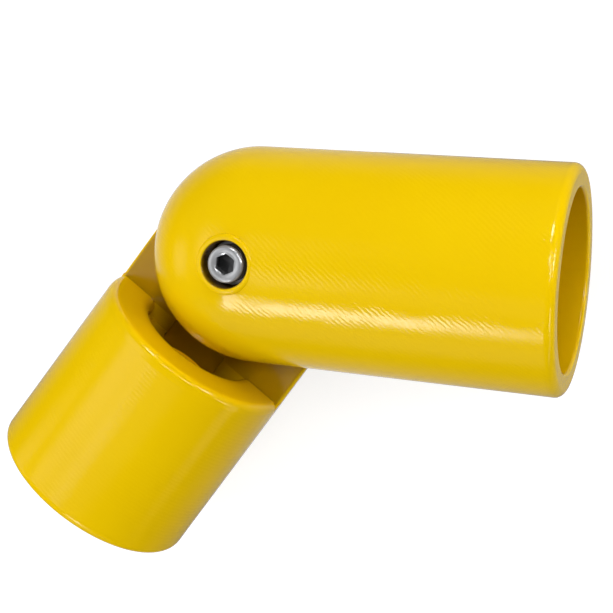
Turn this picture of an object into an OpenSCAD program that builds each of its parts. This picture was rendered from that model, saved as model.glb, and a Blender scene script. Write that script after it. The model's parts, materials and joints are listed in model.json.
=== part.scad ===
// Adjustable handrail elbow: two moulded socket arms, half-lapped at a knuckle and clamped by one screw.
// Millimetres. The origin is the centre of the upper socket's stop. That socket opens along +X, and the
// pivot runs along Z.

/* [Handrail sockets] */
// Outside diameter of the handrail tube that both sockets take
tube_od = 48.3; // [42.4:0.1:60.3]
// Radial gap between the tube and the socket wall
tube_clearance = 0.35; // [0.1:0.05:0.5]
// Depth of each socket from its mouth to the stop
socket_depth = 46; // [30:0.5:70]
// Thickness of the end wall that stops the tube
end_wall = 10; // [9:0.5:14]
// Diameter of the core hole through the end wall
core_hole_d = 18; // [8:0.5:26]
// Wall of the upper arm at the knuckle
upper_wall = 5.5; // [4.5:0.1:8]
// Wall of the lower arm at the knuckle
lower_wall = 4.6; // [3.5:0.1:8]
// Growth of the outside radius from the pivot to the mouth
mouth_flare = 1; // [0:0.1:2]
// Rounding of the mouth's outer edge
rim_round = 2.4; // [0.5:0.1:2.5]
// Rounding of the mouth's inner edge
bore_round = 0.9; // [0.3:0.1:1.2]

/* [Knuckle] */
// Angle between the lower arm and the straight position
bend = 55.5; // [-90:0.5:90]
// Gap between an ear's dome and the other arm's shoulder
swing_clearance = 0.8; // [0.7:0.1:4]
// Gap between faces that turn on each other
face_gap = 0.1; // [0.05:0.05:0.4]
// Rounding of the ear's edge along the mating face
ear_round = 1.1; // [0.4:0.1:1.6]
// How far the shoulder leans back from the mating face to the outside
shoulder_lean = 0.9; // [0:0.1:1.5]
// Rounding of the shoulder's outer edge
shoulder_round = 2; // [0.5:0.1:2.5]
// Diameter of the half-round hollow in the shoulder
hollow_d = 32; // [28:0.5:38]
// Depth of the hollow
hollow_depth = 5; // [4:0.5:6]
// Rounding of the hollow's edge
hollow_round = 3; // [0.5:0.1:3]

/* [Pivot screw] */
// Nominal diameter of the screw
screw_d = 6; // [5:0.5:6.5]
// Length of the screw under its head
screw_length = 45; // [40:0.5:48]
// Diameter of the screw head
head_d = 10; // [8.5:0.1:11]
// Height of the screw head
head_h = 6; // [4:0.1:8]
// Width across the flats of the head's socket
key_af = 5; // [3:0.5:6]
// Depth of the head's socket
key_depth = 3; // [1.5:0.1:3.5]
// Depth of the head's top below the ear's crown
head_recess = 0.3; // [0.2:0.1:4]
// Radial gap between the screw and the holes in the ears
screw_clearance = 0.3; // [0.15:0.05:0.5]

/* [Head washer] */
// Outside diameter of the washer under the head
washer_od = 12; // [11.5:0.1:14]
// Thickness of the washer under the head
washer_t = 1.6; // [0.8:0.1:2.5]
// Radial gap between the washer and the screw
washer_clearance = 0.2; // [0.1:0.05:0.4]
// Radial gap between the washer and the counterbore
counterbore_clearance = 0.3; // [0.2:0.05:1]
// Wall of the raised lip round the counterbore
lip_wall = 1.8; // [1.8:0.1:2.5]
// Height of the lip above the ear's crown
lip_rise = 0.2; // [0.1:0.05:0.6]
// Rounding of the lip's inner edge
lip_round = 0.5; // [0.2:0.05:0.55]
// Rounding of the lip's outer edge
lip_roll = 1.2; // [0.4:0.1:1.2]

/* [Lock nut] */
// Width across the flats of the nut
nut_af = 10; // [9:0.1:12]
// Height of the nut with its collar
nut_h = 6; // [5:0.1:8]
// Length of screw left showing past the nut
tip_out = 0.8; // [0.2:0.1:2]
// Gap on each flat between the nut and its pocket
pocket_clearance = 0.15; // [0.05:0.05:0.4]
// Outside diameter of the locking ring in the nut's collar
insert_od = 8; // [7.5:0.1:8.4]
// Height of the locking ring
insert_h = 1.5; // [0.8:0.1:2]
// Radial gap left for the thread in the nut and the locking ring
thread_gap = 0.05; // [0.02:0.01:0.1]

/* [Hidden] */
$fn = 96;
overcut = 1;
head_round = 0.9;
tip_chamfer = 0.7;
collar_lip = 0.2;
edge_blend = 10;
edge_inset = 0.1;
bore_r = tube_od / 2 + tube_clearance;
core_r = core_hole_d / 2;
hollow_r = hollow_d / 2;
upper_r = bore_r + upper_wall;
lower_r = bore_r + lower_wall;
shoulder_x = max(upper_r, lower_r) + swing_clearance;
shoulder_tilt = atan(shoulder_lean / max(upper_r, lower_r));
stop_x = shoulder_x + end_wall;
mouth_x = stop_x + socket_depth;
taper = atan(mouth_flare / mouth_x);
screw_r = screw_d / 2;
hole_r = screw_r + screw_clearance;
counterbore_r = washer_od / 2 + counterbore_clearance;
head_top_z = upper_r - head_recess;
head_under_z = head_top_z - head_h;
counterbore_floor_z = head_under_z - washer_t - face_gap;
lip_top_z = upper_r + lip_rise;
screw_tip_z = head_under_z - screw_length;
nut_outer_z = screw_tip_z + tip_out;
nut_seat_z = nut_outer_z + nut_h;
lower_turn = bend - 180;
steel = [0.80, 0.81, 0.83];
moulding = [0.95, 0.79, 0.09];
polyamide = [0.20, 0.36, 0.72];

// Outside radius of an arm at a distance x from the pivot
function arm_r(pivot_r, x) = pivot_r + x * tan(taper);

// Distance from the axis to the centre of a rounding that touches the outer cone at x
function round_r(pivot_r, x, rounding) = arm_r(pivot_r, x) - rounding / cos(taper);

// A child drawn as radius and height is turned about the arm's axis, the X axis
module about_arm() {
    rotate([0, 90, 0])
        rotate_extrude()
            children();
}

// Outline of an arm: dome about the pivot, cone tangent to it, rounded mouth
module arm_outline(pivot_r) {
    dome_r = pivot_r * cos(taper);
    rim_x = mouth_x - rim_round;
    rim_r = round_r(pivot_r, rim_x, rim_round);
    intersection() {
        circle(dome_r);
        translate([0, -pivot_r - overcut])
            square([pivot_r + overcut, 2 * (pivot_r + overcut)]);
    }
    polygon([
        [0, -dome_r * sin(taper)],
        [dome_r * cos(taper), -dome_r * sin(taper)],
        [rim_r + rim_round * cos(taper), rim_x - rim_round * sin(taper)],
        [rim_r, mouth_x],
        [0, mouth_x]
    ]);
    translate([rim_r, rim_x])
        circle(rim_round);
}

// Section through the shoulder and all that lies behind it: hollow, face, rounded edge. The rounding stops
// short of the tube's own direction, so that it meets the tube's skin at a clear angle.
module shoulder_section(pivot_r) {
    edge_r = arm_r(pivot_r, shoulder_x + shoulder_round) - edge_inset - shoulder_round * cos(edge_blend);
    edge_centre = [edge_r, shoulder_round];
    edge_end = edge_centre + shoulder_round * [cos(edge_blend), -sin(edge_blend)];
    behind = edge_end + mouth_x * [sin(edge_blend), cos(edge_blend)];
    difference() {
        union() {
            polygon([[0, 0], [edge_r, 0], edge_end, behind, [0, behind[1]]]);
            translate(edge_centre)
                circle(shoulder_round);
        }
        translate([0, -overcut])
            square([hollow_r, hollow_depth + overcut]);
        difference() {
            translate([0, -overcut])
                square([hollow_r + hollow_round, hollow_round + overcut]);
            translate([hollow_r + hollow_round, hollow_round])
                circle(hollow_round);
        }
    }
}

// The half of the knuckle that belongs to the other arm, down to the leaning shoulder
module lap_cut(pivot_r) {
    reach = pivot_r + mouth_flare + overcut;
    difference() {
        translate([-reach, -reach, -reach])
            cube([reach + stop_x, 2 * reach, reach + face_gap / 2]);
        translate([shoulder_x, 0, face_gap / 2])
            rotate([0, -shoulder_tilt, 0])
                about_arm()
                    shoulder_section(pivot_r);
    }
}

// Section of the rounded ear edge, with the corner of the ear at the origin
module ear_edge_section() {
    difference() {
        translate([-ear_round, -overcut])
            square([ear_round + overcut, ear_round + overcut]);
        translate([-ear_round, ear_round])
            circle(ear_round);
    }
}

// Rounding along the ear's mating face: round the dome, then along both sides to the shoulder
module ear_edge_cut(pivot_r) {
    dome_r = pivot_r * cos(taper);
    reach = pivot_r + mouth_flare + overcut;
    translate([0, 0, face_gap / 2]) {
        rotate([0, 0, 90 + taper])
            rotate_extrude(angle = 180 - 2 * taper)
                translate([dome_r, 0])
                    ear_edge_section();
        intersection() {
            for (hand = [0, 1])
                mirror([0, hand, 0])
                    rotate([0, 0, taper])
                        translate([0, dome_r, 0])
                            rotate([90, 0, 90])
                                linear_extrude(mouth_x)
                                    ear_edge_section();
            translate([-reach, -reach, -reach])
                cube([reach + shoulder_x, 2 * reach, 2 * reach]);
        }
    }
}

// Socket for the handrail tube, its rounded mouth and the core hole through the end wall
module socket_cut() {
    about_arm() {
        translate([0, stop_x])
            square([bore_r, socket_depth + overcut]);
        difference() {
            translate([0, mouth_x - bore_round])
                square([bore_r + bore_round, bore_round + overcut]);
            translate([bore_r + bore_round, mouth_x - bore_round])
                circle(bore_round);
        }
        translate([0, shoulder_x])
            square([core_r, end_wall + overcut]);
    }
}

// Screw hole through an ear
module screw_hole(pivot_r) {
    translate([0, 0, -overcut])
        cylinder(r = hole_r, h = pivot_r + 2 * overcut);
}

// Raised lip round the counterbore, level where the ear's crown falls away from it
module counterbore_lip() {
    lip_r = counterbore_r + lip_wall;
    rotate_extrude() {
        polygon([
            [0, counterbore_floor_z],
            [lip_r, counterbore_floor_z],
            [lip_r, lip_top_z - lip_roll],
            [lip_r - lip_roll, lip_top_z],
            [0, lip_top_z]
        ]);
        translate([lip_r - lip_roll, lip_top_z - lip_roll])
            circle(lip_roll);
    }
}

// Round counterbore for the screw head and its washer, with a rounded mouth in the lip
module head_counterbore() {
    rotate_extrude() {
        translate([0, counterbore_floor_z])
            square([counterbore_r, lip_top_z - counterbore_floor_z + overcut]);
        difference() {
            translate([0, lip_top_z - lip_round])
                square([counterbore_r + lip_round, lip_round + overcut]);
            translate([counterbore_r + lip_round, lip_top_z - lip_round])
                circle(lip_round);
        }
    }
}

// Hexagon of a given width across its flats, corners toward +X and -X
module hexagon(across_flats) {
    corner_r = across_flats / 2 / cos(30);
    polygon([for (i = [0:5]) corner_r * [cos(60 * i), sin(60 * i)]]);
}

// Socket arm with its ear on the +Z side, pivot at the origin, mouth toward +X
module socket_arm(pivot_r) {
    difference() {
        about_arm()
            arm_outline(pivot_r);
        lap_cut(pivot_r);
        ear_edge_cut(pivot_r);
        socket_cut();
    }
}

// Hexagonal pocket that keeps the nut from turning
module nut_pocket() {
    translate([0, 0, -nut_seat_z])
        linear_extrude(lower_r)
            hexagon(nut_af + 2 * pocket_clearance);
}

module upper_arm() {
    color(moulding)
        translate([-stop_x, 0, 0])
            difference() {
                union() {
                    socket_arm(upper_r);
                    counterbore_lip();
                }
                head_counterbore();
                screw_hole(upper_r);
            }
}

module lower_arm() {
    color(moulding)
        translate([-stop_x, 0, 0])
            rotate([180, 0, lower_turn])
                difference() {
                    socket_arm(lower_r);
                    screw_hole(lower_r);
                    nut_pocket();
                }
}

module pivot_screw() {
    color(steel)
        translate([-stop_x, 0, 0])
            rotate([0, 0, lower_turn])
                difference() {
                    rotate_extrude() {
                        polygon([
                            [0, screw_tip_z],
                            [screw_r - tip_chamfer, screw_tip_z],
                            [screw_r, screw_tip_z + tip_chamfer],
                            [screw_r, head_under_z],
                            [head_d / 2, head_under_z],
                            [head_d / 2, head_top_z - head_round],
                            [head_d / 2 - head_round, head_top_z],
                            [0, head_top_z]
                        ]);
                        translate([head_d / 2 - head_round, head_top_z - head_round])
                            circle(head_round);
                    }
                    translate([0, 0, head_top_z - key_depth])
                        linear_extrude(key_depth + overcut)
                            hexagon(key_af);
                }
}

module head_washer() {
    color(steel)
        translate([-stop_x, 0, head_under_z - washer_t])
            difference() {
                cylinder(r = washer_od / 2, h = washer_t);
                translate([0, 0, -overcut])
                    cylinder(r = screw_r + washer_clearance, h = washer_t + 2 * overcut);
            }
}

module lock_nut() {
    color(steel)
        translate([-stop_x, 0, 0])
            rotate([0, 0, lower_turn])
                difference() {
                    translate([0, 0, nut_outer_z])
                        linear_extrude(nut_h)
                            hexagon(nut_af);
                    translate([0, 0, nut_outer_z - overcut])
                        cylinder(r = screw_r + thread_gap, h = nut_h + 2 * overcut);
                    translate([0, 0, nut_outer_z + collar_lip])
                        cylinder(r = insert_od / 2, h = insert_h);
                }
}

module nut_insert() {
    color(polyamide)
        translate([-stop_x, 0, nut_outer_z + collar_lip])
            difference() {
                cylinder(r = insert_od / 2, h = insert_h);
                translate([0, 0, -overcut])
                    cylinder(r = screw_r + thread_gap, h = insert_h + 2 * overcut);
            }
}

upper_arm();
lower_arm();
pivot_screw();
head_washer();
lock_nut();
nut_insert();
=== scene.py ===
import json
import math

import bmesh
import bpy
from mathutils import Matrix, Vector


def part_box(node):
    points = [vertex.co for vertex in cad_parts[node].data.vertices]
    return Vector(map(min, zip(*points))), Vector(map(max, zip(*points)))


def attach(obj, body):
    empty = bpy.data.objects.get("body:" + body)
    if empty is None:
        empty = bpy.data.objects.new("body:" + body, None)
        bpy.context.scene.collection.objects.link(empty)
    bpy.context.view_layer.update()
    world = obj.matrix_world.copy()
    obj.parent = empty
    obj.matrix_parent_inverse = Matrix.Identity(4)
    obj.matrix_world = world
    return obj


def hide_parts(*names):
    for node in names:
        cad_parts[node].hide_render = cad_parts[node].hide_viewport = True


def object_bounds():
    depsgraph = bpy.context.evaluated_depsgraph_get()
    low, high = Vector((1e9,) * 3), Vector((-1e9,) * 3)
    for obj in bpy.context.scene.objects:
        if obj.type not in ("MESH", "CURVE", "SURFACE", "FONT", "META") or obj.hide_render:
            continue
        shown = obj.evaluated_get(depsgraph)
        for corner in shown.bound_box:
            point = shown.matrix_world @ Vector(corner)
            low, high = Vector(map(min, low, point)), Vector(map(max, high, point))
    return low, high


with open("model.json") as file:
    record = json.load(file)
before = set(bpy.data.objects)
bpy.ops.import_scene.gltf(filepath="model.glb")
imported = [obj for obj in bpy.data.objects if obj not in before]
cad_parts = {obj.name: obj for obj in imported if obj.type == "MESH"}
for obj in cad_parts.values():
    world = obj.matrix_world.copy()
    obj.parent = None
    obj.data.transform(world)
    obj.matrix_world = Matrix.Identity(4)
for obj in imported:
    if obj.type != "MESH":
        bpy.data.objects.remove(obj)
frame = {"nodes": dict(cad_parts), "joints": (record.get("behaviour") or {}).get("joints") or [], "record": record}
cad_low, cad_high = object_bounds()

# Upper arm
# Socket arm with the near half of the knuckle, moulded in glass-filled plastic with a glossy yellow skin.
# The skin is smooth to the hand, but its fibres leave faint slanting ripples that break up a highlight.
MM = 0.001
PIVOT = Vector(frame["joints"][0]["pos_m"])
YELLOW = (0.870, 0.566, 0.0007, 1)
YELLOW_PALE = (0.890, 0.597, 0.0012, 1)
YELLOW_DEEP = (0.845, 0.532, 0.0005, 1)
# Painted shade: faces sunk inside the arm's outline, such as the bore, are painted a darker yellow
YELLOW_INNER_SHADE = (0.780, 0.480, 0.0006, 1)
# Painted shade: the mating face in the gap between the ears
YELLOW_MATING_SHADE = (0.465, 0.268, 0.0004, 1)
# Painted shade: the hollow in the shoulder and the holes along the pivot
YELLOW_HOLLOW_SHADE = (0.200, 0.105, 0.0003, 1)
SPECKLE_SHARE = 0.5
SKIN_IOR = 1.50
SKIN_ROUGHNESS_LOW = 0.06
SKIN_ROUGHNESS_HIGH = 0.10
INNER_ROUGHNESS = 0.12
SKIN_RELIEF = 0.30
SKIN_RELIEF_DEPTH = 0.2 * MM
PEEL_SHARE = 0.55
GRAIN_SHARE = 0.42
PATCH_START = 0.28
PATCH_FULL = 0.50
ARM_RADIUS = 30 * MM
INNER_START = 1.4 * MM
INNER_FULL = 4 * MM
MATING_BAND = 0.8 * MM
MATING_START = 1.0 * MM
MATING_FULL = 1.5 * MM
HOLLOW_START = 10 * MM
HOLLOW_FULL = 21 * MM
SHOULDER = 31.5 * MM
SOCKET_STOP = 41 * MM
SOCKET_MOUTH = 86.4 * MM
COUNTERBORE_R = 6.3 * MM
COUNTERBORE_FADE_START = 0.35 * MM
COUNTERBORE_FADE_END = 0.05 * MM
UPPER_RIPPLE_TURN = math.radians(-50)
UPPER_RIPPLE_DEPTH = 0.31


def add(nodes, kind, **settings):
    """A shader node with its settings. A setting that names an input gives that input's value."""
    node = nodes.new("ShaderNode" + kind)
    for name, value in settings.items():
        label = name.replace("_", " ").title()
        if label in node.inputs:
            node.inputs[label].default_value = value
        else:
            setattr(node, name, value)
    return node


def maths(tree, operation, first, second=0):
    """The output of a Math node on one or two sockets or numbers."""
    node = add(tree.nodes, "Math", operation=operation)
    for slot, term in zip(node.inputs, (first, second)):
        if isinstance(term, (int, float)):
            slot.default_value = term
        else:
            tree.links.new(term, slot)
    return node.outputs[0]


def from_axis(tree, apart):
    """The distance from the Z axis of a place that a Separate XYZ node takes apart."""
    squares = [maths(tree, "POWER", apart.outputs[axis], 2) for axis in "XY"]
    return maths(tree, "SQRT", maths(tree, "ADD", *squares))


def mixed(tree, factor, first, second):
    """The output of a colour mix of two sockets or colours."""
    node = add(tree.nodes, "Mix", data_type="RGBA")
    tree.links.new(factor, node.inputs["Factor"])
    for label, colour in (("A", first), ("B", second)):
        if isinstance(colour, tuple):
            node.inputs[label].default_value = colour
        else:
            tree.links.new(colour, node.inputs[label])
    return node.outputs["Result"]


def new_finish(name, settings):
    """A group for a finish with a place and float settings, and its input and output nodes."""
    group = bpy.data.node_groups.new(name, "ShaderNodeTree")
    group.interface.new_socket("Vector", in_out="INPUT", socket_type="NodeSocketVector")
    for label in settings:
        group.interface.new_socket(label, in_out="INPUT", socket_type="NodeSocketFloat")
    for label, kind in (("Color", "Color"), ("Roughness", "Float"), ("Height", "Float")):
        group.interface.new_socket(label, in_out="OUTPUT", socket_type="NodeSocket" + kind)
    return group, group.nodes.new("NodeGroupInput"), group.nodes.new("NodeGroupOutput")


def moulded_skin_group():
    """Colour, roughness and relief of the moulded skin, in a space whose X axis is the arm's own axis."""
    group, inside, outside = new_finish("moulded skin", ["Ripple Turn", "Ripple Depth"])
    nodes, links = group.nodes, group.links
    place = inside.outputs["Vector"]

    # The arm's surface unrolled: along the axis, and round it at the arm's radius
    apart = add(nodes, "SeparateXYZ")
    links.new(place, apart.inputs[0])
    turn = maths(group, "ARCTAN2", apart.outputs["Y"], apart.outputs["Z"])
    flat = add(nodes, "CombineXYZ")
    links.new(apart.outputs["X"], flat.inputs["X"])
    links.new(maths(group, "MULTIPLY", turn, ARM_RADIUS), flat.inputs["Y"])
    turned = add(nodes, "VectorRotate", rotation_type="Z_AXIS")
    links.new(flat.outputs[0], turned.inputs["Vector"])
    links.new(inside.outputs["Ripple Turn"], turned.inputs["Angle"])

    # Ripples about a millimetre apart, strong in patches and gone between them
    ripple = add(nodes, "TexWave", scale=273, distortion=3, detail=2, detail_scale=1.6)
    links.new(turned.outputs[0], ripple.inputs["Vector"])
    patches = add(nodes, "TexNoise", scale=95, detail=2)
    links.new(place, patches.inputs["Vector"])
    strong = add(nodes, "MapRange", from_min=PATCH_START, from_max=PATCH_FULL)
    links.new(patches.outputs["Fac"], strong.inputs["Value"])
    patched = maths(group, "MULTIPLY", ripple.outputs["Fac"], strong.outputs[0])

    # How far a face lies inside the arm's outline, a tube with a round end about the pivot
    to_axis = add(nodes, "CombineXYZ")
    links.new(maths(group, "MINIMUM", apart.outputs["X"], 0), to_axis.inputs["X"])
    links.new(apart.outputs["Y"], to_axis.inputs["Y"])
    links.new(apart.outputs["Z"], to_axis.inputs["Z"])
    reach = add(nodes, "VectorMath", operation="LENGTH")
    links.new(to_axis.outputs[0], reach.inputs[0])
    depth = maths(group, "SUBTRACT", ARM_RADIUS, reach.outputs["Value"])
    sunk = add(nodes, "MapRange", from_min=INNER_START, from_max=INNER_FULL)
    links.new(depth, sunk.inputs["Value"])
    before_mouth = maths(group, "LESS_THAN", apart.outputs["X"], SOCKET_MOUTH)
    inner = maths(group, "MULTIPLY", sunk.outputs[0], before_mouth)

    # Painted shade: the mating face between the ears is painted darker, almost to its edge
    level = maths(group, "LESS_THAN", maths(group, "ABSOLUTE", apart.outputs["Z"]), MATING_BAND)
    edge = add(nodes, "MapRange", from_min=MATING_START, from_max=MATING_FULL)
    links.new(depth, edge.inputs["Value"])
    before_shoulder = maths(group, "LESS_THAN", apart.outputs["X"], SHOULDER)
    mating = maths(group, "MULTIPLY", maths(group, "MULTIPLY", level, edge.outputs[0]), before_shoulder)

    # Painted shade: faces deep inside the arm before the socket, such as the hollow in the shoulder, and all
    # within the counterbore's width of the pivot axis are painted dark brown
    middle = add(nodes, "MapRange", from_min=HOLLOW_START, from_max=HOLLOW_FULL)
    links.new(depth, middle.inputs["Value"])
    before_socket = maths(group, "LESS_THAN", apart.outputs["X"], SOCKET_STOP)
    in_shoulder = maths(group, "MULTIPLY", middle.outputs[0], before_socket)
    bored = add(
        nodes, "MapRange",
        from_min=COUNTERBORE_R + COUNTERBORE_FADE_START, from_max=COUNTERBORE_R + COUNTERBORE_FADE_END,
    )
    links.new(from_axis(group, apart), bored.inputs["Value"])
    hollow = maths(group, "MAXIMUM", in_shoulder, bored.outputs[0])

    # The ripples lie on the outer skin alone
    on_skin = maths(group, "SUBTRACT", 1, inner)
    masked = maths(group, "MULTIPLY", patched, on_skin)
    rippled = maths(group, "MULTIPLY", masked, inside.outputs["Ripple Depth"])

    # Slow waves of the skin, and the fine grain of the fibres under it
    peel = add(nodes, "TexNoise", scale=420, detail=2, roughness=0.4)
    links.new(place, peel.inputs["Vector"])
    grain = add(nodes, "TexNoise", scale=2600, detail=1)
    links.new(place, grain.inputs["Vector"])
    waved = maths(group, "ADD", rippled, maths(group, "MULTIPLY", peel.outputs["Fac"], PEEL_SHARE))
    height = maths(group, "ADD", waved, maths(group, "MULTIPLY", grain.outputs["Fac"], GRAIN_SHARE))
    links.new(height, outside.inputs["Height"])

    # Yellow that clouds a little over centimetres and speckles over tenths of a millimetre
    cloud = add(nodes, "TexNoise", scale=38, detail=3)
    links.new(place, cloud.inputs["Vector"])
    clouded = mixed(group, cloud.outputs["Fac"], YELLOW_DEEP, YELLOW_PALE)
    speckle = maths(group, "MULTIPLY", grain.outputs["Fac"], SPECKLE_SHARE)
    skin = mixed(group, speckle, clouded, YELLOW)
    # Painted shade: sunk inner faces take a darker yellow, and the mating face between the ears a darker one still
    shaded_inside = mixed(group, mating, mixed(group, inner, skin, YELLOW_INNER_SHADE), YELLOW_MATING_SHADE)
    links.new(mixed(group, hollow, shaded_inside, YELLOW_HOLLOW_SHADE), outside.inputs["Color"])

    # Gloss that dulls a little from patch to patch, and more on the inner faces
    gloss = add(nodes, "MapRange", to_min=SKIN_ROUGHNESS_LOW, to_max=SKIN_ROUGHNESS_HIGH)
    links.new(patches.outputs["Fac"], gloss.inputs["Value"])
    dulled = maths(group, "MULTIPLY", inner, INNER_ROUGHNESS)
    links.new(maths(group, "MAXIMUM", gloss.outputs[0], dulled), outside.inputs["Roughness"])
    return group


def finish_material(name, group, settings, turn, relief, relief_depth):
    """A material with a group's colour, roughness and relief, in a space at the pivot turned about Z."""
    material = bpy.data.materials.new(name)
    material.use_nodes = True
    tree = material.node_tree
    shader = tree.nodes["Principled BSDF"]
    place = add(tree.nodes, "TexCoord")
    to_piece = add(tree.nodes, "Mapping", vector_type="TEXTURE")
    to_piece.inputs["Location"].default_value = PIVOT
    to_piece.inputs["Rotation"].default_value = (0, 0, turn)
    finish = tree.nodes.new("ShaderNodeGroup")
    finish.node_tree = group
    for label, value in settings.items():
        finish.inputs[label].default_value = value
    bump = add(tree.nodes, "Bump", strength=relief, distance=relief_depth)
    tree.links.new(place.outputs["Object"], to_piece.inputs["Vector"])
    tree.links.new(to_piece.outputs["Vector"], finish.inputs["Vector"])
    tree.links.new(finish.outputs["Color"], shader.inputs["Base Color"])
    tree.links.new(finish.outputs["Roughness"], shader.inputs["Roughness"])
    tree.links.new(finish.outputs["Height"], bump.inputs["Height"])
    tree.links.new(bump.outputs["Normal"], shader.inputs["Normal"])
    return material


MOULDED_SKIN = moulded_skin_group()


def skin_material(name, turn, ripple_turn, ripple_depth):
    """The moulded skin on an arm whose axis leaves the pivot, turned about Z from the X axis."""
    ripples = {"Ripple Turn": ripple_turn, "Ripple Depth": ripple_depth}
    material = finish_material(name, MOULDED_SKIN, ripples, turn, SKIN_RELIEF, SKIN_RELIEF_DEPTH)
    material.node_tree.nodes["Principled BSDF"].inputs["IOR"].default_value = SKIN_IOR
    return material


def finish_node(name, material):
    """A CAD node keeps its mesh and takes the finished material."""
    mesh = frame["nodes"][name].data
    mesh.materials.clear()
    mesh.materials.append(material)


finish_node("upper_arm", skin_material("upper moulded skin", 0, UPPER_RIPPLE_TURN, UPPER_RIPPLE_DEPTH))

# Lower arm
# Socket arm with the far half of the knuckle, from the same moulding compound as the upper arm.
# Its fibres lie another way, so its ripples run almost straight round it.
LOWER_RIPPLE_TURN = math.radians(6)
LOWER_RIPPLE_DEPTH = 0.21
mounts = {mount["name"]: mount for mount in frame["record"]["mounts"]}
lower_axis = mounts["lower_socket"]["axis"]
lower_turn = math.atan2(lower_axis[1], lower_axis[0])
finish_node(
    "lower_arm",
    skin_material("lower moulded skin", lower_turn, LOWER_RIPPLE_TURN, LOWER_RIPPLE_DEPTH),
)

# Head washer
# Plain stainless washer under the screw head, stamped from sheet, with its upper edges rounded by the die.
# It lies on the floor of the counterbore and turns with the screw.
STEEL = (0.78, 0.79, 0.81, 1)
STEEL_DARK = (0.60, 0.61, 0.63, 1)
STEEL_METALLIC = 0.62
STEEL_ROUGHNESS_LOW = 0.14
STEEL_ROUGHNESS_HIGH = 0.30
STEEL_RELIEF = 0.10
STEEL_RELIEF_DEPTH = 0.05 * MM
TURN_STEPS = 96
SHARP_ANGLE = math.radians(32)
WELD = 0.001 * MM
WASHER_R = 6
WASHER_HOLE_R = 3.2
WASHER_ROUND = 0.3
WASHER_RINGS = 0.2


def turned_steel_group():
    """Colour, roughness and relief of satin steel that was turned about the Z axis."""
    group, inside, outside = new_finish("turned steel", ["Rings"])
    nodes, links = group.nodes, group.links
    place = inside.outputs["Vector"]
    rings = add(
        nodes, "TexWave", wave_type="RINGS", rings_direction="Z", scale=900, distortion=1.5, detail=2
    )
    links.new(place, rings.inputs["Vector"])
    smears = add(nodes, "TexNoise", scale=700, detail=4)
    links.new(place, smears.inputs["Vector"])
    ringed = maths(group, "MULTIPLY", rings.outputs["Fac"], inside.outputs["Rings"])
    links.new(maths(group, "ADD", ringed, smears.outputs["Fac"]), outside.inputs["Height"])
    links.new(mixed(group, smears.outputs["Fac"], STEEL, STEEL_DARK), outside.inputs["Color"])
    gloss = add(nodes, "MapRange", to_min=STEEL_ROUGHNESS_LOW, to_max=STEEL_ROUGHNESS_HIGH)
    links.new(smears.outputs["Fac"], gloss.inputs["Value"])
    links.new(gloss.outputs[0], outside.inputs["Roughness"])
    return group


TURNED_STEEL = turned_steel_group()


def steel_material(name, rings):
    """Satin stainless steel with turning rings about the pivot."""
    material = finish_material(name, TURNED_STEEL, {"Rings": rings}, 0, STEEL_RELIEF, STEEL_RELIEF_DEPTH)
    material.node_tree.nodes["Principled BSDF"].inputs["Metallic"].default_value = STEEL_METALLIC
    return material


def arc(centre_r, centre_z, radius, start, end, steps=6):
    """Points of a rounded edge in the plane of radius and height, from one angle in degrees to another."""
    angles = [math.radians(start + (end - start) * i / steps) for i in range(steps + 1)]
    return [(centre_r + radius * math.cos(a), centre_z + radius * math.sin(a)) for a in angles]


def turn_profile(bm, outline, closed):
    """Spin an outline of radius and height, in millimetres, round the Z axis."""
    verts = [bm.verts.new((r * MM, 0, z * MM)) for r, z in outline]
    edges = [bm.edges.new(pair) for pair in zip(verts, verts[1:])]
    if closed:
        edges.append(bm.edges.new((verts[-1], verts[0])))
    bmesh.ops.spin(
        bm, geom=verts + edges, cent=(0, 0, 0), axis=(0, 0, 1), dvec=(0, 0, 0),
        angle=math.tau, steps=TURN_STEPS, use_merge=True, use_duplicate=False,
    )


def stand_for(name, bm, material):
    """Turn and move the mesh to the pivot, and let it stand for the CAD node of that name."""
    bmesh.ops.remove_doubles(bm, verts=bm.verts, dist=WELD)
    bmesh.ops.recalc_face_normals(bm, faces=bm.faces)
    bmesh.ops.rotate(bm, verts=bm.verts, cent=(0, 0, 0), matrix=Matrix.Rotation(lower_turn, 3, "Z"))
    bmesh.ops.translate(bm, verts=bm.verts, vec=PIVOT)
    mesh = bpy.data.meshes.new(name + "_shown")
    bm.to_mesh(mesh)
    bm.free()
    mesh.shade_smooth()
    mesh.set_sharp_from_angle(angle=SHARP_ANGLE)
    mesh.materials.append(material)
    piece = bpy.data.objects.new(name + "_shown", mesh)
    bpy.context.scene.collection.objects.link(piece)
    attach(piece, "lower")
    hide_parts(name)


washer_under, washer_top = (corner.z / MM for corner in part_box("head_washer"))
bm = bmesh.new()
turn_profile(bm, [
    (WASHER_HOLE_R, washer_under),
    (WASHER_R, washer_under),
    *arc(WASHER_R - WASHER_ROUND, washer_top - WASHER_ROUND, WASHER_ROUND, 0, 90),
    *arc(WASHER_HOLE_R + WASHER_ROUND, washer_top - WASHER_ROUND, WASHER_ROUND, 90, 180),
], closed=True)
stand_for("head_washer", bm, steel_material("washer steel", WASHER_RINGS))

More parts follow.
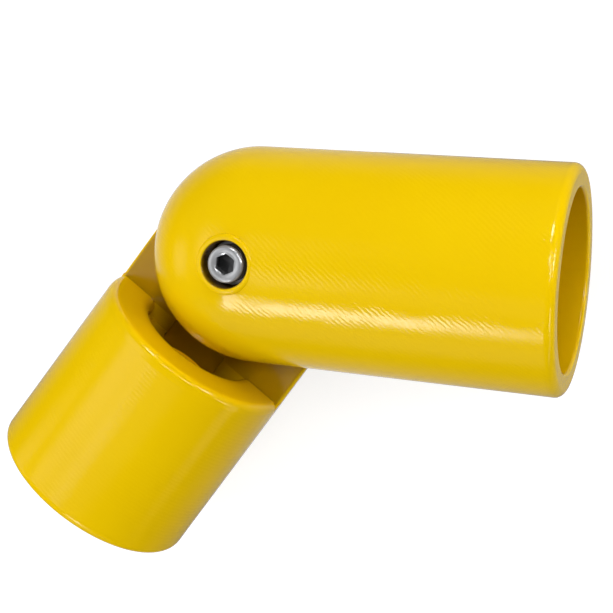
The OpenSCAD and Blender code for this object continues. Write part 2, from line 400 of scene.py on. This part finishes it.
# Pivot screw
# M6 socket cap screw of satin stainless steel, cold headed, with a knurled head and a rolled thread.
# Its head lies in the counterbore, and its shank runs through both ears into the captive nut.
HEAD_R = 5
HEAD_HEIGHT = 6
HEAD_ROUND = 0.9
HEAD_CHAMFER = 0.3
HEAD_RINGS = 1.5
KNURL_DEPTH = 0.10
KNURL_MARGIN = 1.2
KNURL_NEAR = 0.01
KEY_AF = 5
KEY_MOUTH_R = 3.05
KEY_LEAN = 0.55
KEY_DEPTH = 3
DRILL_DEPTH = 0.7
SHANK_R = 2.96
SHANK_LENGTH = 20
SHANK_FILLET = 0.3
THREAD_RUN_OUT = 0.5
THREAD_CORE_R = 2.42
THREAD_CREST_R = 2.98
THREAD_PITCH = 1
THREAD_STEPS = 36
RIDGE_SUNK = 0.1
RIDGE_FOOT = 0.42
RIDGE_CREST = 0.08
TIP_CHAMFER = 0.7
TIP_CORE_CHAMFER = 0.3
TIP_TRIM = 0.001
# Painted shade: the steel inside the hexagon socket is painted near black with depth
SOCKET_SHADE_BLACK = (0.01, 0.01, 0.01, 1)
SOCKET_SHADE_START = 0.15
SOCKET_SHADE_FULL = 1.1
SOCKET_SHADE_STRENGTH = 0.90
HEXAGON_CUTS = TURN_STEPS // 6 - 1


def hexagon_loop(bm, across_flats, height, cone_r, lean):
    """A hexagon of many short edges that follow a cone, which has the given height at cone_r."""
    bmesh.ops.create_circle(bm, segments=6, radius=across_flats / 2 / math.cos(math.pi / 6) * MM)
    bmesh.ops.subdivide_edges(bm, edges=[e for e in bm.edges if e.is_wire], cuts=HEXAGON_CUTS)
    loop = [e for e in bm.edges if e.is_wire]
    for vert in {vert for edge in loop for vert in edge.verts}:
        vert.co.z = height * MM + lean * (vert.co.xy.length - cone_r * MM)
    return loop


def open_rim(bm, height):
    """The open edges that lie at a height."""
    return [
        edge for edge in bm.edges
        if edge.is_boundary and all(abs(vert.co.z - height * MM) < WELD for vert in edge.verts)
    ]


def shade_socket(material, top):
    """Paint shade into the hexagon socket: the steel under the head's top darkens towards near black with depth.
    """
    tree = material.node_tree
    shader = tree.nodes["Principled BSDF"]
    bare = shader.inputs["Base Color"].links[0].from_socket
    place = tree.nodes["Group"].inputs["Vector"].links[0].from_socket
    apart = add(tree.nodes, "SeparateXYZ")
    tree.links.new(place, apart.inputs[0])
    deep = add(
        tree.nodes, "MapRange",
        from_min=(top - SOCKET_SHADE_START) * MM, from_max=(top - SOCKET_SHADE_FULL) * MM,
        to_min=0, to_max=SOCKET_SHADE_STRENGTH,
    )
    tree.links.new(apart.outputs["Z"], deep.inputs["Value"])
    within = maths(tree, "LESS_THAN", from_axis(tree, apart), KEY_MOUTH_R * MM)
    socket_shade = maths(tree, "MULTIPLY", deep.outputs[0], within)
    tree.links.new(mixed(tree, socket_shade, bare, SOCKET_SHADE_BLACK), shader.inputs["Base Color"])


screw_tip, head_top = (corner.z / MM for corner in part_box("pivot_screw"))
head_under = head_top - HEAD_HEIGHT
knurl_top = head_top - KNURL_MARGIN
knurl_foot = head_under + KNURL_MARGIN
thread_top = head_under - SHANK_LENGTH
bm = bmesh.new()
turn_profile(bm, [
    (KEY_MOUTH_R, head_top),
    *arc(HEAD_R - HEAD_ROUND, head_top - HEAD_ROUND, HEAD_ROUND, 90, 0),
    (HEAD_R, knurl_top), (HEAD_R, knurl_top - KNURL_DEPTH),
    (HEAD_R, knurl_foot + KNURL_DEPTH), (HEAD_R, knurl_foot),
    (HEAD_R, head_under + HEAD_CHAMFER), (HEAD_R - HEAD_CHAMFER, head_under),
    *arc(SHANK_R + SHANK_FILLET, head_under - SHANK_FILLET, SHANK_FILLET, 90, 180),
    (SHANK_R, thread_top), (THREAD_CORE_R, thread_top - THREAD_RUN_OUT),
    (THREAD_CORE_R, screw_tip + TIP_CORE_CHAMFER), (THREAD_CORE_R - TIP_CORE_CHAMFER, screw_tip),
    (0, screw_tip),
], closed=False)
for vert in bm.verts:
    step = round(math.atan2(vert.co.y, vert.co.x) / math.tau * TURN_STEPS)
    height = vert.co.z / MM
    in_knurl = knurl_foot < height - KNURL_NEAR and height + KNURL_NEAR < knurl_top
    if step % 2 and in_knurl and vert.co.xy.length > (HEAD_R - KNURL_NEAR) * MM:
        vert.co.xy *= 1 - KNURL_DEPTH / HEAD_R

# The hexagon socket: a countersunk mouth, flat walls and a drilled floor
bmesh.ops.remove_doubles(bm, verts=bm.verts, dist=WELD)
mouth = open_rim(bm, head_top)
hexagon = hexagon_loop(bm, KEY_AF, head_top, KEY_MOUTH_R, KEY_LEAN)
bmesh.ops.bridge_loops(bm, edges=mouth + hexagon)
walls = bmesh.ops.extrude_edge_only(bm, edges=hexagon)["geom"]
for vert in (part for part in walls if isinstance(part, bmesh.types.BMVert)):
    vert.co.z = (head_top - KEY_DEPTH) * MM
floor_face = bmesh.ops.contextual_create(bm, geom=open_rim(bm, head_top - KEY_DEPTH))["faces"]
bmesh.ops.recalc_face_normals(bm, faces=bm.faces)
bmesh.ops.poke(bm, faces=floor_face, offset=-DRILL_DEPTH * MM)

# The rolled thread: a ridge spun up a helix from below the tip, cut off level and chamfered there
turns = math.ceil((thread_top - screw_tip) / THREAD_PITCH) + 1
ridge_outline = [
    (THREAD_CORE_R - RIDGE_SUNK, -RIDGE_FOOT),
    (THREAD_CREST_R, -RIDGE_CREST),
    (THREAD_CREST_R, RIDGE_CREST),
    (THREAD_CORE_R - RIDGE_SUNK, RIDGE_FOOT),
]
ridge = [bm.verts.new((r * MM, 0, (screw_tip - THREAD_PITCH + z) * MM)) for r, z in ridge_outline]
section = [bm.edges.new(pair) for pair in zip(ridge, ridge[1:] + ridge[:1])]
bmesh.ops.spin(
    bm, geom=ridge + section, cent=(0, 0, 0), axis=(0, 0, 1),
    dvec=(0, 0, THREAD_PITCH * MM / THREAD_STEPS), angle=turns * math.tau, steps=turns * THREAD_STEPS,
    use_merge=False, use_duplicate=False,
)
bmesh.ops.bisect_plane(
    bm, geom=bm.verts[:] + bm.edges[:] + bm.faces[:], plane_co=(0, 0, (screw_tip + TIP_TRIM) * MM),
    plane_no=(0, 0, -1), clear_outer=True,
)
bmesh.ops.holes_fill(bm, edges=[edge for edge in bm.edges if edge.is_boundary], sides=0)
for vert in bm.verts:
    widest = HEAD_R if vert.co.z > 0 else THREAD_CREST_R - TIP_CHAMFER
    limit = widest * MM + max(vert.co.z - screw_tip * MM, 0)
    if vert.co.xy.length > limit:
        vert.co.xy *= limit / vert.co.xy.length
screw_steel = steel_material("screw steel", HEAD_RINGS)
shade_socket(screw_steel, head_top)
stand_for("pivot_screw", bm, screw_steel)

# Lock nut
# Stainless lock nut, cold formed, with a hexagon chamfered at both ends and a collar rolled in over a ring.
# It is held from turning in the pocket of the lower ear.
NUT_AF = 10
NUT_FACE_R = 4.75
NUT_LEAN = 0.55
NUT_BORE_R = 3.05
NUT_BORE_CHAMFER = 0.4
NUT_RINGS = 0.1
COLLAR_R = 4.6
COLLAR_HEIGHT = 1.8
COLLAR_ROUND = 0.6
COLLAR_MOUTH_R = 3.5
COLLAR_MOUTH_CHAMFER = 0.05
RING_R = 4
nut_outer, nut_seat = (corner.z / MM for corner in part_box("lock_nut"))
ring_under, ring_top = (corner.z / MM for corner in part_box("nut_insert"))
collar_top = nut_outer + COLLAR_HEIGHT
bm = bmesh.new()
turn_profile(bm, [
    (NUT_FACE_R, nut_seat),
    (NUT_BORE_R + NUT_BORE_CHAMFER, nut_seat), (NUT_BORE_R, nut_seat - NUT_BORE_CHAMFER),
    (NUT_BORE_R, ring_top), (RING_R, ring_top), (RING_R, ring_under), (COLLAR_MOUTH_R, ring_under),
    (COLLAR_MOUTH_R, nut_outer + COLLAR_MOUTH_CHAMFER), (COLLAR_MOUTH_R + COLLAR_MOUTH_CHAMFER, nut_outer),
    *arc(COLLAR_R - COLLAR_ROUND, nut_outer + COLLAR_ROUND, COLLAR_ROUND, -90, 0),
    (COLLAR_R, collar_top),
], closed=False)
bmesh.ops.remove_doubles(bm, verts=bm.verts, dist=WELD)
seat_rim = open_rim(bm, nut_seat)
collar_rim = open_rim(bm, collar_top)
seat_hexagon = hexagon_loop(bm, NUT_AF, nut_seat, NUT_FACE_R, -NUT_LEAN)
bmesh.ops.bridge_loops(bm, edges=seat_rim + seat_hexagon)
collar_hexagon = hexagon_loop(bm, NUT_AF, collar_top, COLLAR_R, NUT_LEAN)
bmesh.ops.bridge_loops(bm, edges=collar_rim + collar_hexagon)
bmesh.ops.bridge_loops(bm, edges=seat_hexagon + collar_hexagon)
stand_for("lock_nut", bm, steel_material("nut steel", NUT_RINGS))

# Locking ring
# Ring of blue polyamide in the nut's collar, moulded, that grips the thread.
# The collar is rolled in over it, so only its inner edge shows from below.
RING_BLUE = (0.030, 0.105, 0.480, 1)
RING_BLUE_PALE = (0.055, 0.150, 0.560, 1)
RING_IOR = 1.53
RING_ROUGHNESS_LOW = 0.38
RING_ROUGHNESS_HIGH = 0.55
RING_RELIEF = 0.2
RING_RELIEF_DEPTH = 0.03 * MM
RING_BORE_R = 3.05
RING_ROUND = 0.25
bm = bmesh.new()
turn_profile(bm, [
    *arc(RING_BORE_R + RING_ROUND, ring_under + RING_ROUND, RING_ROUND, 180, 270),
    *arc(RING_R - RING_ROUND, ring_under + RING_ROUND, RING_ROUND, 270, 360),
    *arc(RING_R - RING_ROUND, ring_top - RING_ROUND, RING_ROUND, 0, 90),
    *arc(RING_BORE_R + RING_ROUND, ring_top - RING_ROUND, RING_ROUND, 90, 180),
], closed=True)
blue = bpy.data.materials.new("blue polyamide")
blue.use_nodes = True
tree = blue.node_tree
shader = tree.nodes["Principled BSDF"]
shader.inputs["IOR"].default_value = RING_IOR
place = add(tree.nodes, "TexCoord")
mottle = add(tree.nodes, "TexNoise", scale=1800, detail=3)
tree.links.new(place.outputs["Object"], mottle.inputs["Vector"])
tree.links.new(mixed(tree, mottle.outputs["Fac"], RING_BLUE, RING_BLUE_PALE), shader.inputs["Base Color"])
dull = add(tree.nodes, "MapRange", to_min=RING_ROUGHNESS_LOW, to_max=RING_ROUGHNESS_HIGH)
tree.links.new(mottle.outputs["Fac"], dull.inputs["Value"])
tree.links.new(dull.outputs[0], shader.inputs["Roughness"])
relief = add(tree.nodes, "Bump", strength=RING_RELIEF, distance=RING_RELIEF_DEPTH)
tree.links.new(mottle.outputs["Fac"], relief.inputs["Height"])
tree.links.new(relief.outputs["Normal"], shader.inputs["Normal"])
stand_for("nut_insert", bm, blue)

# Soft boxes
# Lamps with feathered edges, all as far from the pivot, each named for its place in the picture.
# Those that show in the gloss draw its highlights, and the fills only lift the sides.
LAMP_DISTANCE = 0.9
LAMP_FEATHER = 0.7


def softbox(name, toward, width, height, radiance, in_gloss=True):
    """A rectangular light that stands off the pivot in a direction, faces it and fades to its edges."""
    lamp = bpy.data.lights.new(name, "AREA")
    lamp.shape = "RECTANGLE"
    lamp.size = width
    lamp.size_y = height
    lamp.energy = radiance * math.pi * width * height
    lamp.use_nodes = True
    tree = lamp.node_tree
    spot = add(tree.nodes, "NewGeometry")
    apart = add(tree.nodes, "SeparateXYZ")
    tree.links.new(spot.outputs["Parametric"], apart.inputs[0])
    ramps = []
    for axis in "XY":
        ramp = add(tree.nodes, "MapRange", interpolation_type="SMOOTHSTEP", from_max=LAMP_FEATHER / 2)
        to_far_edge = maths(tree, "SUBTRACT", 1, apart.outputs[axis])
        tree.links.new(maths(tree, "MINIMUM", apart.outputs[axis], to_far_edge), ramp.inputs["Value"])
        ramps.append(ramp.outputs[0])
    tree.links.new(maths(tree, "MULTIPLY", *ramps), tree.nodes["Emission"].inputs["Strength"])
    box = bpy.data.objects.new(name, lamp)
    direction = Vector(toward).normalized()
    box.location = PIVOT + direction * LAMP_DISTANCE
    box.rotation_euler = direction.to_track_quat("Z", "Y").to_euler()
    box.visible_glossy = in_gloss
    bpy.context.scene.collection.objects.link(box)


softbox("strip below", (-0.27, -0.735, 0.625), 0.33, 0.24, 8.5)
softbox("strip below, dim end", (-0.08, -0.785, 0.62), 0.21, 0.25, 1.5)
softbox("glow over the strip", (-0.05, -0.42, 0.90), 0.80, 0.50, 0.15)
softbox("low wall", (-0.25, -0.93, 0.27), 0.90, 0.60, 0.24)
softbox("low wall right", (0.75, -0.65, 0.05), 0.80, 0.30, 0.60)
softbox("window right", (0.89, 0.24, 0.39), 0.24, 0.26, 15)
softbox("window right, upper end", (0.60, 0.20, 0.77), 0.26, 0.30, 7)
softbox("window corner", (0.30, 0.36, 0.88), 0.24, 0.24, 8)
softbox("window right, low end", (0.84, -0.42, 0.33), 0.30, 0.30, 4.5)
softbox("window top", (0.12, 0.78, 0.61), 0.22, 0.32, 18)
softbox("box over", (-0.40, -0.28, 0.87), 0.36, 0.30, 1.1)
softbox("box left", (-0.62, 0.10, 0.78), 0.80, 0.72, 0.8)
softbox("wall left", (-0.96, -0.10, 0.25), 0.50, 0.42, 0.6)
softbox("fill top", (0.15, 0.95, 0.25), 0.60, 0.60, 3.0, in_gloss=False)
softbox("fill right", (0.94, 0.22, 0.10), 0.60, 0.60, 6.0, in_gloss=False)
softbox("fill below", (-0.60, -0.75, 0.25), 0.60, 0.60, 6.0, in_gloss=False)

# Floor
# Sheet of white paper that the part lies on, a little darker round the part, where its shadow shows.
# In the gloss it is brightest beside the part and fades away from it.
WHITE = (1, 1, 1, 1)
FLOOR_REACH = 4
FLOOR_GREY = (0.35, 0.35, 0.35, 1)
FLOOR_GLOW = 0.79
FLOOR_WHITE_START = 2.5
FLOOR_WHITE_END = 6
FLOOR_GLOSS_NEAR = 0.75
FLOOR_GLOSS_KEPT = 0.30
FLOOR_SHIFT = Vector((-0.02, 0.02, 0))
FLOOR_GLOSS_START = 0.60
floor_mesh = bpy.data.meshes.new("floor")
bm = bmesh.new()
bmesh.ops.create_grid(bm, x_segments=1, y_segments=1, size=FLOOR_REACH)
bmesh.ops.translate(bm, verts=bm.verts, vec=(0, 0, cad_low.z))
bm.to_mesh(floor_mesh)
bm.free()
floor = bpy.data.objects.new("floor", floor_mesh)
bpy.context.scene.collection.objects.link(floor)

paper = bpy.data.materials.new("white paper")
paper.use_nodes = True
tree = paper.node_tree
tree.nodes.clear()
path = add(tree.nodes, "LightPath")
matt = add(tree.nodes, "BsdfDiffuse", color=FLOOR_GREY)
glow = add(tree.nodes, "Emission", color=WHITE)
lit = add(tree.nodes, "AddShader")
tree.links.new(matt.outputs[0], lit.inputs[0])
tree.links.new(glow.outputs[0], lit.inputs[1])

# The distance from the part in plan, in halves of its length and width
place = add(tree.nodes, "TexCoord")
from_part = add(tree.nodes, "Mapping", vector_type="TEXTURE")
from_part.inputs["Location"].default_value = (cad_low + cad_high) / 2 + FLOOR_SHIFT
from_part.inputs["Scale"].default_value = (cad_high - cad_low) / 2
tree.links.new(place.outputs["Object"], from_part.inputs["Vector"])
plan = add(tree.nodes, "VectorMath", operation="MULTIPLY")
plan.inputs[1].default_value = (1, 1, 0)
tree.links.new(from_part.outputs["Vector"], plan.inputs[0])
away = add(tree.nodes, "VectorMath", operation="LENGTH")
tree.links.new(plan.outputs["Vector"], away.inputs[0])

# What the camera sees, and what the gloss sees
whiter = add(
    tree.nodes, "MapRange", interpolation_type="SMOOTHSTEP",
    from_min=FLOOR_WHITE_START, from_max=FLOOR_WHITE_END, to_min=FLOOR_GLOW, to_max=1,
)
tree.links.new(away.outputs["Value"], whiter.inputs["Value"])
seen_glow = maths(tree, "MULTIPLY", path.outputs["Is Camera Ray"], whiter.outputs[0])
tree.links.new(seen_glow, glow.inputs["Strength"])
past = maths(tree, "MAXIMUM", maths(tree, "SUBTRACT", away.outputs["Value"], FLOOR_GLOSS_START), 0)
mirrored = add(tree.nodes, "Emission", color=WHITE)
fading = maths(tree, "POWER", FLOOR_GLOSS_KEPT, past)
tree.links.new(maths(tree, "MULTIPLY", fading, FLOOR_GLOSS_NEAR), mirrored.inputs["Strength"])
either = maths(tree, "MAXIMUM", path.outputs["Is Glossy Ray"], path.outputs["Is Transmission Ray"])
sheet = add(tree.nodes, "MixShader")
tree.links.new(either, sheet.inputs[0])
tree.links.new(lit.outputs[0], sheet.inputs[1])
tree.links.new(mirrored.outputs[0], sheet.inputs[2])
surface = add(tree.nodes, "OutputMaterial")
tree.links.new(sheet.outputs[0], surface.inputs["Surface"])
floor_mesh.materials.append(paper)

# Walls
# White to the camera. As light on the part they are dim, and brightest at the upper left.
# The gloss doesn't see them, so it shows the soft boxes and the floor alone.
WALL_BRIGHT_SIDE = Vector((-0.88, 0.12, 0.46)).normalized()
WALL_LEVEL = 0.08
WALL_GAIN = 0.95
WALL_FALL = 1.5
world = bpy.data.worlds.new("studio")
world.use_nodes = True
bpy.context.scene.world = world
tree = world.node_tree
place = add(tree.nodes, "TexCoord")
facing = add(tree.nodes, "VectorMath", operation="DOT_PRODUCT")
tree.links.new(place.outputs["Generated"], facing.inputs[0])
facing.inputs[1].default_value = WALL_BRIGHT_SIDE
lobe = maths(tree, "POWER", maths(tree, "MAXIMUM", facing.outputs["Value"], 0), WALL_FALL)
wall = maths(tree, "ADD", maths(tree, "MULTIPLY", lobe, WALL_GAIN), WALL_LEVEL)
path = add(tree.nodes, "LightPath")
strength = maths(tree, "MAXIMUM", wall, path.outputs["Is Camera Ray"])
tree.links.new(strength, tree.nodes["Background"].inputs["Strength"])
tree.nodes["Background"].inputs["Color"].default_value = WHITE
world.cycles_visibility.glossy = False

# Camera
# At the photograph's viewing angle and distance, with the lens that gives its perspective.
# The turn is in degrees, and the lens and its sensor in millimetres.
CAMERA_AT = (0.10932, 0.05085, 0.42879)
CAMERA_TURN = (-7.220, 18.048, 2.963)
CAMERA_LENS = 96.557
CAMERA_SENSOR = 36
lens = bpy.data.cameras.new("camera")
lens.lens = CAMERA_LENS
lens.sensor_width = CAMERA_SENSOR
camera = bpy.data.objects.new("camera", lens)
camera.location = CAMERA_AT
camera.rotation_euler = [math.radians(a) for a in CAMERA_TURN]
bpy.context.scene.collection.objects.link(camera)
bpy.context.scene.camera = camera
bpy.context.scene.view_settings.view_transform = "Standard"
